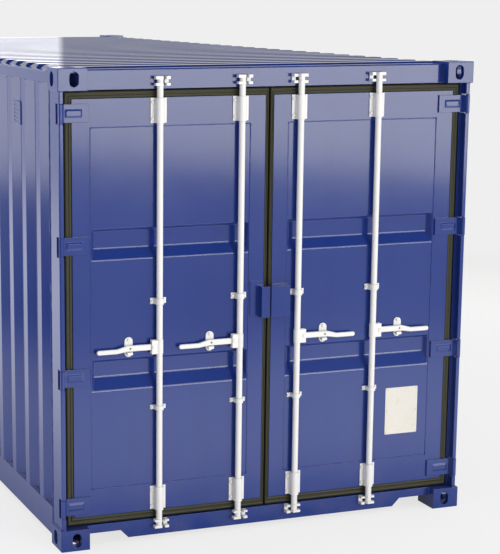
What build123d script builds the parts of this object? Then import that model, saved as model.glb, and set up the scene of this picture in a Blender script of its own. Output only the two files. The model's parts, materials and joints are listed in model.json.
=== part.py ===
from build123d import *
import os
from math import atan2, tan

# Steel storage container, 20 ft long, with a pair of doors at one end.
# Millimetres. +Z is up, the doors face -Y, left is -X as seen by someone facing the doors.
# The origin is on the ground, under the middle of the container.
# Door-end depths (names ending in _D) are measured inwards from the castings' outer face.

# Overall size
LENGTH = 6058
WIDTH = 2438
HEIGHT = 2591

# Corner castings
CASTING_X, CASTING_Y, CASTING_Z = 162, 178, 118
CASTING_WALL = 28
CASTING_INNER_WALL = 15
CASTING_EDGE = 5
SLOT_LENGTH, SLOT_WIDTH = 124, 63.5
END_HOLE_HIGH, END_HOLE_WIDE = 79.5, 51
SIDE_HOLE_HIGH, SIDE_HOLE_WIDE = 79.5, 63.5
HOLE_FROM_SIDE = 89.5
HOLE_FROM_END = 102.5

# Posts
POST_OUT_X = 1210
POST_IN_X = 1172
POST_LEG_X = 1186
POST_FRONT_D = 15
POST_STEP_D = 66
POST_WALL = 6
POST_CORNER = 8
CLOSED_POST_X = 1213
CLOSED_POST_LIP = 41

# Side rails
TOP_RAIL = 60
TOP_RAIL_Z = 2504
TOP_RAIL_WALL = 4
BOTTOM_RAIL_X = 1213
BOTTOM_RAIL_Z = (48, 206)
BOTTOM_RAIL_FLANGES = (48, 30)
RAIL_PLATE = 5

# Door header and sill
HEADER_D = (56, 116)
HEADER_Z = (HEIGHT - CASTING_Z, 2580)
HEADER_WALL = 5
HEADER_EDGE = 9
SILL_Z = (26, 118)
SILL_NOTCH_Z = 72
SILL_NOTCH_X = 862
SILL_PLATE = 6
FLOOR_TOP = 172
FLOOR_THICK = 28

# Closed end
CLOSED_FACE = 10
CLOSED_RAIL = 60
CLOSED_SILL_Z = (26, 172)

# Corrugated sheets: crest, slope, valley, depth and thickness
SIDE_WAVE = (72, 68, 70, 36, 2)
SIDE_CRESTS = 20
SIDE_CREST_X = 1211
END_WAVE = (110, 18, 104, 45, 2)
END_CRESTS = 8
ROOF_RIDGES = 27
ROOF_PITCH = 209
ROOF_Z = 2564
ROOF_THICK = 2
ROOF_RIDGE_HIGH = 20
ROOF_RIDGE_BASE = (2270, 118)
ROOF_RIDGE_TOP = (2220, 91)

# Cross members under the floor
CROSS_COUNT = 17
CROSS_HIGH, CROSS_FLANGE, CROSS_PLATE = 122, 45, 5
CROSS_HALF_LONG = 1183
CROSS_FROM_ENDS = (60, 105)

# Ventilator
VENT_D = (706, 836)
VENT_Z = (2250, 2378)
VENT_PLATE = 4
VENT_BODY_D = (772, 836)
VENT_OUT_X = 1216
VENT_SLITS = 5
VENT_SLIT_INSET = 14
VENT_SLIT_HALF = 4

# Door leaves, given for the right-hand leaf and mirrored for the left one
LEAF_D = (60, 110)
LEAF_X = (25, 1126)
LEAF_Z = (168, 2428)
STILE_IN_X = 112
STILE_OUT_X = 1026
RAIL_LOW_Z = 318
RAIL_HIGH_Z = 2278
PANEL_D = 62
PANEL_THICK = 2.5
TROUGH_X = (118, 1020)
TROUGHS_Z = ((856, 1030), (1578, 1734))
TROUGH_DEEP = 34
TROUGH_FLAT = 54
TROUGH_SLOPE = 50
TROUGH_MOUTH_R, TROUGH_BACK_R = 34, 12
GASKET_X = (4, 1167)
GASKET_Z = (123, 2468)
GASKET_D = (64, 108)
GASKET_LIP = 7
GASKET_LIP_D = 60

# Door hinges
HINGE_X = 1199
HINGE_D = 22
HINGES_Z = (235, 948, 1660, 2355)
HINGE_HIGH = 96
HINGE_PIN_R = 8
HINGE_KNUCKLE_R = 12.5
HINGE_BLADE_X = 1035
HINGE_BLADE_D = (50, 60)
HINGE_CRANK = ((0, 0), (11, -5), (24, 25), (30, 28))
HINGE_CRANK_BACK = 19
HINGE_RIB_X = (1070, 1166)
HINGE_RIB_HIGH, HINGE_RIB_PROUD, HINGE_RIB_SLOPE = 44, 4, 10
NOTCH_ROOM = 6
RUNNING_GAP = 0.1

# Lock rods
RODS_X = (174, 645)
ROD_D = 33
ROD_R = 17
ROD_Z = (72, 2540)
CAMS_Z = ((72, 86), (108, 120), (2490, 2504), (2524, 2540))
CAM_R = 18
CAM_OUTLINE = ((-12, -20), (30, -20), (30, 12), (6, 16), (-16, 0))
KEEPER_X = (-52, -30)
KEEPER_FRONT_D = 14
KEEPER_WEB_D = 46

# Rod brackets
BRACKET_HALF = 45
BRACKET_PLATE = 6
BRACKETS_Z = ((174, 306), (2294, 2426))
GUIDES_Z = ((740, 764), (1324, 1356))
BRACKET_SHELL = 5
BRACKET_GAP = 1.5

# Handles
HANDLE_Z = 1092
HANDLE_LONG = 357
HANDLE_PIVOT = 38
HANDLE_D = (27, 39)
HANDLE_HIGH = 32
HANDLE_TIP_HIGH = 25
HANDLE_PIN_R = 7
HANDLE_CRANK = (0.52, 0.68)
HANDLE_DROP = 12
HANDLE_EDGE = 3
HUB_HIGH = 76
HUB_REACH = 48
HUB_FRONT_D = (19, 26)
HUB_BACK_D = (40, 47)
HUB_RING_R = 20
CATCH_OFF = 169
CATCH_WIDE, CATCH_HIGH = 46, 108
CATCH_Z = 1096
CATCH_PLATE = 6
CATCH_SHELF_D = 30
CATCH_SHELF_Z = (1056, 1070)
SEAL_HOLE_R = 6

# Lock box over the meeting of the leaves, one half on each leaf
BOX_D = (11, 56)
BOX_Z = (1212, 1385)
BOX_LEFT_X = (-53, -4)
BOX_RIGHT_X = (4, 117)
BOX_SHEET = 4
BOX_BACK_RIGHT = ((25, 125), (1205, 1392))
BOX_BACK_LEFT = ((-104, -25), (1216, 1414))
BOX_LUG_LEFT_X, BOX_LUG_RIGHT_X = -38, 30
BOX_LUG_HOLE_R = 7
BOX_LUG_Z = (1270, 1340)
BOX_LUG_D = 24

HALF_W = WIDTH / 2
HALF_L = LENGTH / 2
POST_Z = (CASTING_Z, HEIGHT - CASTING_Z)
parts = {}


def deep(depth):
    """Y of a depth measured inwards from the door end's face."""
    return depth - HALF_L


def block(x, y, z):
    """Box between two limits on each axis."""
    size = [high - low for low, high in (x, y, z)]
    middle = [(high + low) / 2 for low, high in (x, y, z)]
    return Pos(*middle) * Box(*size)


def door_block(x, depth, z):
    """Box whose Y limits are depths from the door end."""
    return block(x, (deep(depth[0]), deep(depth[1])), z)


def prism_x(points, low, high):
    """Outline of (y, z) points drawn out along X."""
    return extrude(Plane.YZ.offset(low) * Polygon(*points, align=None), high - low, dir=(1, 0, 0))


def prism_y(points, low, high):
    """Outline of (x, z) points drawn out along Y."""
    face = Plane((0, low, 0), x_dir=(1, 0, 0), z_dir=(0, -1, 0)) * Polygon(*points, align=None)
    return extrude(face, high - low, dir=(0, 1, 0))


def prism_z(points, low, high):
    """Outline of (x, y) points drawn out along Z."""
    return extrude(Pos(0, 0, low) * Polygon(*points, align=None), high - low, dir=(0, 0, 1))


def rod_z(x, depth, radius, z):
    """Upright round bar at a depth from the door end."""
    middle = (z[0] + z[1]) / 2
    return Pos(x, deep(depth), middle) * Cylinder(radius, z[1] - z[0])


def to_left(shape):
    return mirror(shape, about=Plane.YZ)


def to_closed_end(shape):
    return mirror(shape, about=Plane.XZ)


def add(name, shape):
    parts[name] = shape


def add_pair(name, right_shape):
    """Right-hand piece and its mirror image on the left."""
    add(name + "_right", right_shape)
    add(name + "_left", to_left(right_shape))


def corrugation(length, count, wave):
    """Closed outline of a folded sheet as (run, inset), with crests at inset 0."""
    crest, slope, valley, depth, thick = wave
    end = (length - count * (crest + 2 * slope) - (count - 1) * valley) / 2
    shift = thick * tan(atan2(depth, slope) / 2)
    outer, inner = [(0, depth)], [(0, depth + thick)]
    run = end
    for _ in range(count):
        for step, inset, way in ((0, depth, 1), (slope, 0, 1), (crest, 0, -1), (slope, depth, -1)):
            run += step
            outer.append((run, inset))
            inner.append((run + way * shift, inset + thick))
        run += valley
    outer.append((length, depth))
    inner.append((length, depth + thick))
    return outer + inner[::-1]


def casting():
    """Hollow bottom casting of the door end's right corner."""
    x_in, y_in = HALF_W - CASTING_X, deep(CASTING_Y)
    shell = block((x_in, HALF_W), (-HALF_L, y_in), (0, CASTING_Z))
    outer = [e for e in shell.edges() if touches_outside(e)]
    shell = fillet(outer, CASTING_EDGE)
    shell -= block((x_in + CASTING_INNER_WALL, HALF_W - CASTING_WALL),
                   (deep(CASTING_WALL), y_in - CASTING_INNER_WALL),
                   (CASTING_WALL, CASTING_Z - CASTING_INNER_WALL))
    x, y, z = HALF_W - HOLE_FROM_SIDE, deep(HOLE_FROM_END), CASTING_Z / 2
    slot = Pos(x, y) * SlotOverall(SLOT_LENGTH, SLOT_WIDTH, rotation=90)
    shell -= extrude(slot, CASTING_WALL + 1, dir=(0, 0, 1))
    end_face = Plane((x, -HALF_L, z), x_dir=(1, 0, 0), z_dir=(0, -1, 0))
    end_hole = end_face * SlotOverall(END_HOLE_HIGH, END_HOLE_WIDE, rotation=90)
    shell -= extrude(end_hole, CASTING_WALL + 1, dir=(0, 1, 0))
    side_face = Plane((HALF_W, y, z), x_dir=(0, 1, 0), z_dir=(1, 0, 0))
    side_hole = side_face * SlotOverall(SIDE_HOLE_HIGH, SIDE_HOLE_WIDE, rotation=90)
    return shell - extrude(side_hole, CASTING_WALL + 1, dir=(-1, 0, 0))


def touches_outside(edge):
    """True for a casting's edge where two of its outer faces meet."""
    centre = edge.center()
    outside = (abs(centre.X - HALF_W) < 1, abs(centre.Y + HALF_L) < 1, abs(centre.Z) < 1)
    return sum(outside) > 1


def build_castings():
    bottom = casting()
    top = Pos(0, 0, HEIGHT) * mirror(bottom, about=Plane.XY)
    for level, shape in (("bottom", bottom), ("top", top)):
        add_pair(f"casting_{level}_door_end", shape)
        add_pair(f"casting_{level}_closed_end", to_closed_end(shape))


def door_post():
    """Hollow door post with a front leg that is notched for the hinges and carries their pins."""
    front, step, back = deep(POST_FRONT_D), deep(POST_STEP_D), deep(CASTING_Y)
    outline = Polygon((POST_IN_X, step), (POST_LEG_X, step), (POST_LEG_X, front),
                      (POST_OUT_X, front), (POST_OUT_X, back), (POST_IN_X, back), align=None)
    corner = outline.vertices().sort_by(Axis.X)[-2:].sort_by(Axis.Y)[0]
    outline = fillet(corner, POST_CORNER)
    outline -= Pos((POST_IN_X + POST_OUT_X) / 2, (step + back) / 2) * Rectangle(
        POST_OUT_X - POST_IN_X - 2 * POST_WALL, back - step - 2 * POST_WALL)
    post = extrude(Pos(0, 0, POST_Z[0]) * outline, POST_Z[1] - POST_Z[0], dir=(0, 0, 1))
    half = HINGE_HIGH / 2 + NOTCH_ROOM
    for z in HINGES_Z:
        post -= door_block((POST_LEG_X - 1, POST_OUT_X + 1), (0, POST_STEP_D), (z - half, z + half))
        post += rod_z(HINGE_X, HINGE_D, HINGE_PIN_R, (z - half, z + half))
    return post


def closed_post():
    """Pressed corner post of the closed end, an angle with a lip along each edge."""
    out_x, out_y = CLOSED_POST_X, HALF_L - CLOSED_FACE + POST_WALL
    in_x, in_y = HALF_W - CASTING_X, HALF_L - CASTING_Y
    wall = POST_WALL
    points = [(out_x, out_y), (out_x, in_y), (out_x - CLOSED_POST_LIP, in_y),
              (out_x - CLOSED_POST_LIP, in_y + wall), (out_x - wall, in_y + wall),
              (out_x - wall, out_y - wall), (in_x + wall, out_y - wall),
              (in_x + wall, out_y - CLOSED_POST_LIP - wall), (in_x, out_y - CLOSED_POST_LIP - wall),
              (in_x, out_y)]
    return prism_z(points, *POST_Z)


def build_posts():
    add_pair("door_post", door_post())
    add_pair("closed_end_post", closed_post())


def build_rails():
    """Tube along each top edge and channel along each bottom edge."""
    y = (deep(CASTING_Y), -deep(CASTING_Y))
    x = (POST_OUT_X - TOP_RAIL, POST_OUT_X)
    z = (TOP_RAIL_Z, TOP_RAIL_Z + TOP_RAIL)
    wall = TOP_RAIL_WALL
    tube = block(x, y, z) - block((x[0] + wall, x[1] - wall), y, (z[0] + wall, z[1] - wall))
    add_pair("top_side_rail", tube)
    low, high = BOTTOM_RAIL_Z
    out, plate = BOTTOM_RAIL_X, RAIL_PLATE
    top_in, low_in = (out - width for width in BOTTOM_RAIL_FLANGES)
    channel = Polygon((out, low), (out, high), (top_in, high), (top_in, high - plate),
                      (out - plate, high - plate), (out - plate, low + plate), (low_in, low + plate),
                      (low_in, low), align=None)
    face = Plane((0, y[0], 0), x_dir=(1, 0, 0), z_dir=(0, -1, 0)) * channel
    add_pair("bottom_side_rail", extrude(face, y[1] - y[0], dir=(0, 1, 0)))


def build_header_and_sill():
    half = HALF_W - CASTING_X
    (front, back), (low, high), wall = HEADER_D, HEADER_Z, HEADER_WALL
    header = door_block((-half, half), HEADER_D, HEADER_Z)
    top_edge = header.edges().filter_by(Axis.X).group_by(Axis.Z)[-1].sort_by(Axis.Y)[0]
    header = fillet(top_edge, HEADER_EDGE)
    header -= door_block((-half, half), (front + wall, back - wall), (low + wall, high - wall))
    add("door_header", header)

    low, high = SILL_Z
    notch_drop = SILL_NOTCH_Z - low
    face = [(-half, high), (half, high), (half, SILL_NOTCH_Z), (SILL_NOTCH_X, SILL_NOTCH_Z),
            (SILL_NOTCH_X - notch_drop, low), (notch_drop - SILL_NOTCH_X, low),
            (-SILL_NOTCH_X, SILL_NOTCH_Z), (-half, SILL_NOTCH_Z)]
    plate = SILL_PLATE
    sill = prism_y(face, deep(front), deep(front + plate))
    sill += door_block((-half, half), (front, back + plate), (high - plate, high))
    flange = SILL_NOTCH_X - notch_drop
    sill += door_block((-flange, flange), (front, back), (low, low + plate))
    add("door_sill", sill)
    threshold = door_block((-POST_IN_X, POST_IN_X), (back, back + plate), (high, FLOOR_TOP))
    add("threshold_plate", threshold)


def build_closed_end():
    half = HALF_W - CASTING_X
    y = (HALF_L - CLOSED_FACE - CLOSED_RAIL, HALF_L - CLOSED_FACE)
    top = (TOP_RAIL_Z, ROOF_Z)
    for name, z in (("closed_end_top_rail", top), ("closed_end_sill", CLOSED_SILL_Z)):
        wall = TOP_RAIL_WALL
        tube = block((-half, half), y, z)
        tube -= block((-half, half), (y[0] + wall, y[1] - wall), (z[0] + wall, z[1] - wall))
        add(name, tube)
    wave = corrugation(2 * half, END_CRESTS, END_WAVE)
    points = [(run - half, HALF_L - CLOSED_FACE - inset) for run, inset in wave]
    add("closed_end_wall", prism_z(points, CLOSED_SILL_Z[1], TOP_RAIL_Z))


def build_side_walls():
    wave = corrugation(LENGTH - 2 * CASTING_Y, SIDE_CRESTS, SIDE_WAVE)
    points = [(SIDE_CREST_X - inset, deep(CASTING_Y) + run) for run, inset in wave]
    add_pair("side_wall", prism_z(points, BOTTOM_RAIL_Z[1], TOP_RAIL_Z))


def ridge(grow_z, shrink):
    """Ridge across the roof with sloped sides and ends."""
    base, top = ([size - shrink for size in pair] for pair in (ROOF_RIDGE_BASE, ROOF_RIDGE_TOP))
    low = Plane.XY.offset(ROOF_Z - grow_z) * Rectangle(*base)
    high = Plane.XY.offset(ROOF_Z + ROOF_RIDGE_HIGH - grow_z) * Rectangle(*top)
    return loft([low, high], ruled=True)


def build_roof():
    """Sheet with pressed ridges, and a flat plate between the castings at each end."""
    half = HALF_W - CASTING_X
    z = (ROOF_Z, ROOF_Z + ROOF_THICK)
    front, back = deep(CASTING_Y), -deep(CASTING_Y)
    sheet = block((-POST_OUT_X, POST_OUT_X), (front, back), z)
    door_end = block((-half, half), (deep(HEADER_D[1]), front), z)
    closed_end = block((-half, half), (back, HALF_L - CLOSED_FACE), z)
    add("roof_end_plates", Compound([door_end, closed_end]))
    places = [Pos(0, (i - (ROOF_RIDGES - 1) / 2) * ROOF_PITCH, 0) for i in range(ROOF_RIDGES)]
    sheet += [place * ridge(0, 0) for place in places]
    sheet -= [place * ridge(ROOF_THICK, ROOF_THICK) for place in places]
    add("roof", sheet)


def build_floor():
    y = (deep(HEADER_D[1] + SILL_PLATE), HALF_L - CLOSED_FACE - CLOSED_RAIL)
    top, low = FLOOR_TOP, FLOOR_TOP - FLOOR_THICK
    boards = block((-POST_IN_X, POST_IN_X), y, (low, top))
    add("floor_boards", boards)
    first, last = deep(CASTING_Y) + CROSS_FROM_ENDS[0], -deep(CASTING_Y) - CROSS_FROM_ENDS[1]
    pitch = (last - first) / (CROSS_COUNT - 1)
    base, plate, flange = low - CROSS_HIGH, CROSS_PLATE, CROSS_FLANGE
    channel = [(0, base), (0, low), (flange, low), (flange, low - plate), (plate, low - plate),
               (plate, base + plate), (flange, base + plate), (flange, base)]
    beams = []
    for i in range(CROSS_COUNT):
        points = [(first + i * pitch + y, z) for y, z in channel]
        beams.append(prism_x(points, -CROSS_HALF_LONG, CROSS_HALF_LONG))
    add("cross_members", Compound(beams))


def build_ventilators():
    """Small louvred cover that bridges a valley of the side wall."""
    valley_x = SIDE_CREST_X - SIDE_WAVE[3]
    cover = door_block((SIDE_CREST_X, VENT_OUT_X), VENT_D, VENT_Z)
    cover += door_block((valley_x, VENT_OUT_X), VENT_BODY_D, VENT_Z)
    pitch = (VENT_Z[1] - VENT_Z[0]) / (VENT_SLITS + 1)
    slit_d = (VENT_D[0] + VENT_SLIT_INSET, VENT_D[1] - VENT_SLIT_INSET)
    for i in range(VENT_SLITS):
        z = VENT_Z[0] + pitch * (i + 1)
        cover -= door_block((VENT_OUT_X - VENT_PLATE / 2, VENT_OUT_X + 1), slit_d,
                            (z - VENT_SLIT_HALF, z + VENT_SLIT_HALF))
    add("ventilators", Compound(cover.solids() + to_left(cover).solids()))


def leaf_frame():
    outer = door_block(LEAF_X, LEAF_D, LEAF_Z)
    return outer - door_block((STILE_IN_X, STILE_OUT_X), LEAF_D, (RAIL_LOW_Z, RAIL_HIGH_Z))


def trough(low, high, push):
    """Long pressed hollow of the leaf's sheet, with sloped sides and round corners."""
    slope_z = (high - low - TROUGH_FLAT) / 2
    x, z = sum(TROUGH_X) / 2, (low + high) / 2
    long = TROUGH_X[1] - TROUGH_X[0]
    mouth = Plane((x, deep(PANEL_D + push), z), x_dir=(1, 0, 0), z_dir=(0, -1, 0))
    back = Plane((x, deep(PANEL_D + push + TROUGH_DEEP), z), x_dir=(1, 0, 0), z_dir=(0, -1, 0))
    wide = mouth * RectangleRounded(long, high - low, TROUGH_MOUTH_R)
    narrow = back * RectangleRounded(long - 2 * TROUGH_SLOPE, high - low - 2 * slope_z, TROUGH_BACK_R)
    return loft([wide, narrow], ruled=True)


def leaf_panel():
    sheet = door_block((STILE_IN_X, STILE_OUT_X), (PANEL_D, PANEL_D + PANEL_THICK),
                       (RAIL_LOW_Z, RAIL_HIGH_Z))
    for low, high in TROUGHS_Z:
        sheet += trough(low, high, PANEL_THICK)
        sheet -= trough(low, high, 0)
    return sheet


def leaf_gasket():
    """Rubber seal round the leaf, a flat band with a raised lip along its middle."""
    band = door_block(GASKET_X, GASKET_D, GASKET_Z) - door_block(LEAF_X, GASKET_D, LEAF_Z)
    lip_x = (GASKET_X[0] + GASKET_LIP, GASKET_X[1] - GASKET_LIP)
    lip_z = (GASKET_Z[0] + GASKET_LIP, GASKET_Z[1] - GASKET_LIP)
    inner_x = (LEAF_X[0] - GASKET_LIP, LEAF_X[1] + GASKET_LIP)
    inner_z = (LEAF_Z[0] - GASKET_LIP, LEAF_Z[1] + GASKET_LIP)
    depth = (GASKET_LIP_D, GASKET_D[0])
    return band + (door_block(lip_x, depth, lip_z) - door_block(inner_x, depth, inner_z))


def hinge_rib(z):
    """Pressed rib with sloped sides along the front of a hinge blade."""
    x, long = sum(HINGE_RIB_X) / 2, HINGE_RIB_X[1] - HINGE_RIB_X[0]
    foot = Plane((x, deep(HINGE_BLADE_D[0]), z), x_dir=(1, 0, 0), z_dir=(0, -1, 0))
    slope = 2 * HINGE_RIB_SLOPE
    base = foot * Rectangle(long, HINGE_RIB_HIGH)
    top = foot.offset(HINGE_RIB_PROUD) * Rectangle(long - slope, HINGE_RIB_HIGH - slope)
    return loft([base, top], ruled=True)


def leaf_hinges():
    """Four blades, each bent back from its knuckle to lie on the leaf."""
    front, back = (deep(depth) for depth in HINGE_BLADE_D)
    pin_y = deep(HINGE_D)
    points = [(HINGE_X - inward, pin_y + depth) for inward, depth in HINGE_CRANK]
    points += [(HINGE_BLADE_X, front), (HINGE_BLADE_X, back), (HINGE_X - HINGE_CRANK_BACK, back),
               (HINGE_X, pin_y + HINGE_KNUCKLE_R)]
    blades = []
    for z in HINGES_Z:
        low, high = z - HINGE_HIGH / 2, z + HINGE_HIGH / 2
        blade = prism_z(points, low, high) + rod_z(HINGE_X, HINGE_D, HINGE_KNUCKLE_R, (low, high))
        blade += hinge_rib(z)
        blades.append(blade - rod_z(HINGE_X, HINGE_D, HINGE_PIN_R + RUNNING_GAP, (low, high)))
    return Compound([solid for blade in blades for solid in blade.solids()])


def bracket(x, face_d, z):
    """Plate with a cover that wraps round the front of a lock rod."""
    plate_d = (face_d - BRACKET_PLATE, face_d)
    radius = ROD_R + BRACKET_GAP + BRACKET_SHELL
    shape = door_block((x - BRACKET_HALF, x + BRACKET_HALF), plate_d, z)
    shape += door_block((x - radius, x + radius), (ROD_D, plate_d[0]), z)
    shape += rod_z(x, ROD_D, radius, z)
    return shape - rod_z(x, ROD_D, ROD_R + BRACKET_GAP, z)


def leaf_brackets():
    shapes = []
    for x in RODS_X:
        shapes += [bracket(x, LEAF_D[0], z) for z in BRACKETS_Z]
        shapes += [bracket(x, PANEL_D, z) for z in GUIDES_Z]
    return Compound([solid for shape in shapes for solid in shape.solids()])


def leaf_catches():
    """Oval plate behind each handle with a shelf that the handle lies over."""
    shapes = []
    for rod_x in RODS_X:
        x = rod_x + CATCH_OFF
        face = Plane((x, deep(PANEL_D), CATCH_Z), x_dir=(1, 0, 0), z_dir=(0, -1, 0))
        oval = extrude(face * SlotOverall(CATCH_HIGH, CATCH_WIDE, rotation=90), CATCH_PLATE,
                       dir=(0, -1, 0))
        shelf_x = (x - CATCH_WIDE / 3, x + CATCH_WIDE / 3)
        shelf = door_block(shelf_x, (CATCH_SHELF_D, PANEL_D - CATCH_PLATE), CATCH_SHELF_Z)
        shapes += (oval + shelf).solids()
    return Compound(shapes)


def cam(x, z):
    """Flat cam of a lock rod, with its wing on the handle's side."""
    points = [(x + across, deep(ROD_D) + depth) for across, depth in CAM_OUTLINE]
    return prism_z(points, *z) + rod_z(x, ROD_D, CAM_R, z)


def lock_rod(x):
    """Upright bar with two pairs of cams and the fork that holds the handle."""
    rod = rod_z(x, ROD_D, ROD_R, ROD_Z)
    for z in CAMS_Z:
        rod += cam(x, z)
    hub_z = (HANDLE_Z - HUB_HIGH / 2, HANDLE_Z + HUB_HIGH / 2)
    rod += rod_z(x, ROD_D, HUB_RING_R, hub_z)
    for depth in (HUB_FRONT_D, HUB_BACK_D):
        rod += door_block((x, x + HUB_REACH), depth, hub_z)
    pin_d = (HUB_FRONT_D[0] + HUB_BACK_D[1]) / 2
    pin = Cylinder(HANDLE_PIN_R, HUB_BACK_D[1] - HUB_FRONT_D[0], rotation=(90, 0, 0))
    return rod + Pos(x + HANDLE_PIVOT, deep(pin_d), HANDLE_Z) * pin


def handle(rod_x):
    """Flat bar that hangs on the fork's pin, cranked down past its catch to a slimmer grip."""
    x = rod_x + HANDLE_PIVOT
    half, tip_half = HANDLE_HIGH / 2, HANDLE_TIP_HIGH / 2
    bend, grip = (rod_x + HANDLE_LONG * share for share in HANDLE_CRANK)
    tip, tip_z = rod_x + HANDLE_LONG - tip_half, HANDLE_Z - HANDLE_DROP
    top = [(x, HANDLE_Z + half), (bend, HANDLE_Z + half), (grip, tip_z + tip_half), (tip, tip_z + tip_half)]
    under = [(tip, tip_z - tip_half), (grip, tip_z - tip_half), (bend, HANDLE_Z - half), (x, HANDLE_Z - half)]
    y = (deep(HANDLE_D[0]), deep(HANDLE_D[1]))
    bar = prism_y(top + under, *y)
    thick, middle = y[1] - y[0], sum(y) / 2
    for centre, z, radius in ((x, HANDLE_Z, half), (tip, tip_z, tip_half)):
        bar += Pos(centre, middle, z) * Cylinder(radius, thick, rotation=(90, 0, 0))
    outline = bar.faces().sort_by(Axis.Y)[0].edges()
    bar = chamfer(outline, HANDLE_EDGE)
    holes = ((x, HANDLE_PIN_R + RUNNING_GAP), (rod_x + CATCH_OFF, SEAL_HOLE_R))
    for centre, radius in holes:
        bar -= Pos(centre, middle, HANDLE_Z) * Cylinder(radius, thick, rotation=(90, 0, 0))
    return bar


def keepers():
    """C-shaped keepers beside the cams, on the header and the sill."""
    shapes = []
    for x in RODS_X:
        across = (x + KEEPER_X[0], x + KEEPER_X[1])
        for lower, upper in (CAMS_Z[:2], CAMS_Z[2:]):
            upper = (upper[0], min(upper[1], SILL_Z[1])) if lower is CAMS_Z[0] else upper
            block_z = (lower[0], upper[1])
            shape = door_block(across, (KEEPER_FRONT_D, HEADER_D[0]), block_z)
            shape -= door_block(across, (KEEPER_FRONT_D, KEEPER_WEB_D), (lower[1], upper[0]))
            shapes += shape.solids()
            shapes += to_left(shape).solids()
    return Compound(shapes)


def lock_box_half(across, open_side, back, lug_x):
    """Half of the hood, open below and towards the other half, with a lug for a padlock."""
    (x0, x1), (z0, z1), sheet = across, BOX_Z, BOX_SHEET
    hood = door_block(across, BOX_D, BOX_Z)
    inner_x = (x0 - 1, x1 - sheet) if open_side < 0 else (x0 + sheet, x1 + 1)
    hood -= door_block(inner_x, (BOX_D[0] + sheet, BOX_D[1]), (z0 - 1, z1 - sheet))
    plate = door_block(back[0], (BOX_D[1], LEAF_D[0]), back[1])
    lug = door_block((lug_x, lug_x + 2 * sheet), (BOX_LUG_D, BOX_D[1]), BOX_LUG_Z)
    hole = Cylinder(BOX_LUG_HOLE_R, 6 * sheet, rotation=(0, 90, 0))
    lug -= Pos(lug_x, deep((BOX_LUG_D + BOX_D[1]) / 2), sum(BOX_LUG_Z) / 2) * hole
    return hood + plate + lug


def build_doors():
    add_pair("door_frame", leaf_frame())
    add_pair("door_panel", leaf_panel())
    add_pair("door_gasket", leaf_gasket())
    add_pair("door_hinges", leaf_hinges())
    add_pair("rod_brackets", leaf_brackets())
    add_pair("handle_catches", leaf_catches())
    for place, x in zip(("inner", "outer"), RODS_X):
        add_pair(f"lock_rod_{place}", lock_rod(x))
        add_pair(f"handle_{place}", handle(x))
    add("rod_keepers", keepers())
    add("lock_box_right", lock_box_half(BOX_RIGHT_X, -1, BOX_BACK_RIGHT, BOX_LUG_RIGHT_X))
    add("lock_box_left", lock_box_half(BOX_LEFT_X, 1, BOX_BACK_LEFT, BOX_LUG_LEFT_X))


def main():
    build_castings()
    build_posts()
    build_rails()
    build_header_and_sill()
    build_closed_end()
    build_side_walls()
    build_roof()
    build_floor()
    build_ventilators()
    build_doors()
    os.makedirs("parts", exist_ok=True)
    for name, shape in parts.items():
        export_step(shape, f"parts/{name}.step")


main()
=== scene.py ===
"""Finish and small fittings of a steel storage container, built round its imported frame."""
import json
import math
import random

import bmesh
import bpy
from bpy.props import FloatProperty, FloatVectorProperty, IntProperty, PointerProperty
from mathutils import Matrix, Vector


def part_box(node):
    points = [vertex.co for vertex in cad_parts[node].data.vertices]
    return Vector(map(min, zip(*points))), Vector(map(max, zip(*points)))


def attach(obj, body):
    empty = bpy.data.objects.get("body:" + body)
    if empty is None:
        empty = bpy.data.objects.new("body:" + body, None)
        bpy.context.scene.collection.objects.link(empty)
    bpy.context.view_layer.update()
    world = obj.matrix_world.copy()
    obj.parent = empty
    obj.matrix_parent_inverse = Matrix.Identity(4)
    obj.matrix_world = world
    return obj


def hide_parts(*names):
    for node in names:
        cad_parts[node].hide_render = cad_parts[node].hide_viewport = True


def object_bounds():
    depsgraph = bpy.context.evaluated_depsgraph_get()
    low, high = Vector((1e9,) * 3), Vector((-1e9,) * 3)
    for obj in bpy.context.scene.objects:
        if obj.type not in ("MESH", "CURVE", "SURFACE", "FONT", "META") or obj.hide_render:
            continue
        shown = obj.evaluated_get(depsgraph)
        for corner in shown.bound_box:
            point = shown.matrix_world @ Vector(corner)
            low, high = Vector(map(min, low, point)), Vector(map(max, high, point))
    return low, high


bl_info = {
    "name": "Storage Container",
    "version": (1, 0, 0),
    "blender": (4, 5, 0),
    "location": "View3D > Sidebar > Container",
    "description": "Paint, seals, welds, bolts and studio of a steel storage container",
    "category": "Object",
}

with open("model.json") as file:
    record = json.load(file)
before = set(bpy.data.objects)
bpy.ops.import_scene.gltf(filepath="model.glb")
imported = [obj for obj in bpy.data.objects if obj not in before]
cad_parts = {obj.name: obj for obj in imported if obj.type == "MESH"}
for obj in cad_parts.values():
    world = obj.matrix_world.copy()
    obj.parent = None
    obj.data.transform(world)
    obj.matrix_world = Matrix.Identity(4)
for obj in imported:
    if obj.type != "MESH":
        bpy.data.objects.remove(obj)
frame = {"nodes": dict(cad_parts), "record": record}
nodes = frame["nodes"]
cad_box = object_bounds()
FRONT_Y = cad_box[0].y
SIDES = (("left", -1), ("right", 1))
SMOOTH_ANGLE = math.radians(40)

# All sizes are in metres, and depths are behind the door end's face.
# Foot, top and run of the long foot slope of each trough in the door sheets.
TROUGHS = ((0.862, 1.032, 0.074), (1.576, 1.740, 0.056))
# Front of a door seal's section, from its outer to its inner edge: share of its width, and depth.
SEAL_FRONT = ((0.0, 0.070), (0.08, 0.0635), (0.24, 0.0602), (0.38, 0.0618), (0.44, 0.0650), (0.56, 0.0650),
              (0.62, 0.0618), (0.76, 0.0602), (0.92, 0.0630), (1.0, 0.067))
# How far the lock rods stand from the middle of the doors.
ROD_X = {"inner": 0.174, "outer": 0.645}
# From a rod's middle out to its handle's pin and to its handle's catch.
PIN_OUT, CATCH_OUT = 0.038, 0.169
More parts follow.
